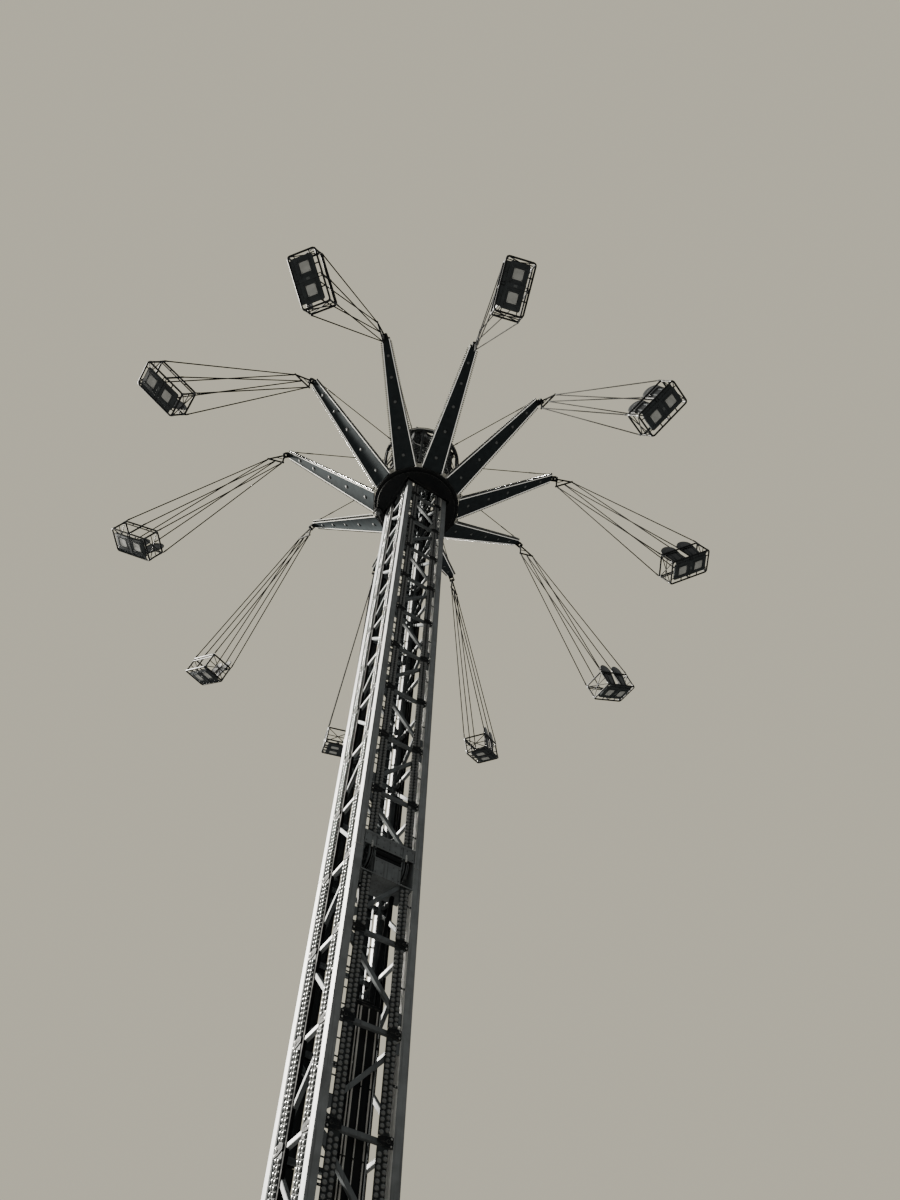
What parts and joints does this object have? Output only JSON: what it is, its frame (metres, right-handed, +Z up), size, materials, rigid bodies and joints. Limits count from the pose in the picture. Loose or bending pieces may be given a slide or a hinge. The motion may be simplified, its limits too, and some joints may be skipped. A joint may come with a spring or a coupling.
{
  "type": "chair swing ride",
  "caption": "Tower swing ride: a tall square lattice tower, a climbing carriage with a turning ring of rising arms, and two-seat gondolas flung outward on wire ropes.",
  "frame": {"origin": "on the ground at the middle of the tower, on the underside of the foot frame's cross", "axes": "+Z up; -Y is the tower's front face, with the sheave beam; +X is the tower's right face"},
  "size_m": [17.4536, 17.2306, 31.957],
  "materials": {
    "post_paint": "semi-gloss pale paint, worn",
    "brace_paint": "semi-gloss grey paint, worn",
    "dark_paint": "satin dark paint",
    "arm_paint": "semi-gloss near-black paint",
    "wire_rope": "weathered steel wire",
    "seat_paint": "satin dark paint"
  },
  "bodies": {
    "tower": {"base_frame": "dark_paint", "tower_front_side": "post_paint", "tower_rear_side": "post_paint", "tower_right_side": "brace_paint", "tower_left_side": "brace_paint", "tower_head": "dark_paint", "sheave_beam": "dark_paint", "hoist_mast": "dark_paint", "hoist_rope_left": "wire_rope", "hoist_rope_right": "wire_rope"},
    "carriage": {"carriage_sleeve": "dark_paint", "slew_collar": "dark_paint", "slew_drive": "dark_paint"},
    "rotor": {"turning_ring": "arm_paint", "turning_cage": "dark_paint", "arm_01": "arm_paint", "arm_02": "arm_paint", "arm_03": "arm_paint", "arm_04": "arm_paint", "arm_05": "arm_paint", "arm_06": "arm_paint", "arm_07": "arm_paint", "arm_08": "arm_paint", "arm_09": "arm_paint", "arm_10": "arm_paint"},
    "swing_01": {"hanger_01": "wire_rope", "gondola_01": "seat_paint"},
    "swing_02": {"hanger_02": "wire_rope", "gondola_02": "seat_paint"},
    "swing_03": {"hanger_03": "wire_rope", "gondola_03": "seat_paint"},
    "swing_04": {"hanger_04": "wire_rope", "gondola_04": "seat_paint"},
    "swing_05": {"hanger_05": "wire_rope", "gondola_05": "seat_paint"},
    "swing_06": {"hanger_06": "wire_rope", "gondola_06": "seat_paint"},
    "swing_07": {"hanger_07": "wire_rope", "gondola_07": "seat_paint"},
    "swing_08": {"hanger_08": "wire_rope", "gondola_08": "seat_paint"},
    "swing_09": {"hanger_09": "wire_rope", "gondola_09": "seat_paint"},
    "swing_10": {"hanger_10": "wire_rope", "gondola_10": "seat_paint"}
  },
  "joints": [
    {"name": "carriage_lift", "type": "slide", "parent": "tower", "child": "carriage", "axis": [0, 0, 1], "range_m": [-22.6, 0]},
    {"name": "ring_spin", "type": "hinge", "parent": "carriage", "child": "rotor", "pos_m": [0, 0, 27.5], "axis": [0, 0, 1], "continuous": true},
    {"name": "swing_01", "type": "hinge", "parent": "rotor", "child": "swing_01", "pos_m": [4.67962, 0.61608, 30.15], "axis": [0.0087, -1, 0], "range_deg": [-40, 20]},
    {"name": "swing_02", "type": "hinge", "parent": "rotor", "child": "swing_02", "pos_m": [3.42377, 3.24903, 30.15], "axis": [0.5948, -0.8039, 0], "range_deg": [-40, 20]},
    {"name": "swing_03", "type": "hinge", "parent": "rotor", "child": "swing_03", "pos_m": [0.86015, 4.64096, 30.15], "axis": [0.9537, -0.3007, 0], "range_deg": [-40, 20]},
    {"name": "swing_04", "type": "hinge", "parent": "rotor", "child": "swing_04", "pos_m": [-2.03201, 4.2602, 30.15], "axis": [0.9483, 0.3173, 0], "range_deg": [-40, 20]},
    {"name": "swing_05", "type": "hinge", "parent": "rotor", "child": "swing_05", "pos_m": [-4.14802, 2.25219, 30.15], "axis": [0.5807, 0.8141, 0], "range_deg": [-40, 20]},
    {"name": "swing_06", "type": "hinge", "parent": "rotor", "child": "swing_06", "pos_m": [-4.67962, -0.61608, 30.15], "axis": [-0.0087, 1, 0], "range_deg": [-40, 20]},
    {"name": "swing_07", "type": "hinge", "parent": "rotor", "child": "swing_07", "pos_m": [-3.42377, -3.24903, 30.15], "axis": [-0.5948, 0.8039, 0], "range_deg": [-40, 20]},
    {"name": "swing_08", "type": "hinge", "parent": "rotor", "child": "swing_08", "pos_m": [-0.86015, -4.64096, 30.15], "axis": [-0.9537, 0.3007, 0], "range_deg": [-40, 20]},
    {"name": "swing_09", "type": "hinge", "parent": "rotor", "child": "swing_09", "pos_m": [2.03201, -4.2602, 30.15], "axis": [-0.9483, -0.3173, 0], "range_deg": [-40, 20]},
    {"name": "swing_10", "type": "hinge", "parent": "rotor", "child": "swing_10", "pos_m": [4.14802, -2.25219, 30.15], "axis": [-0.5807, -0.8141, 0], "range_deg": [-40, 20]}
  ]
}
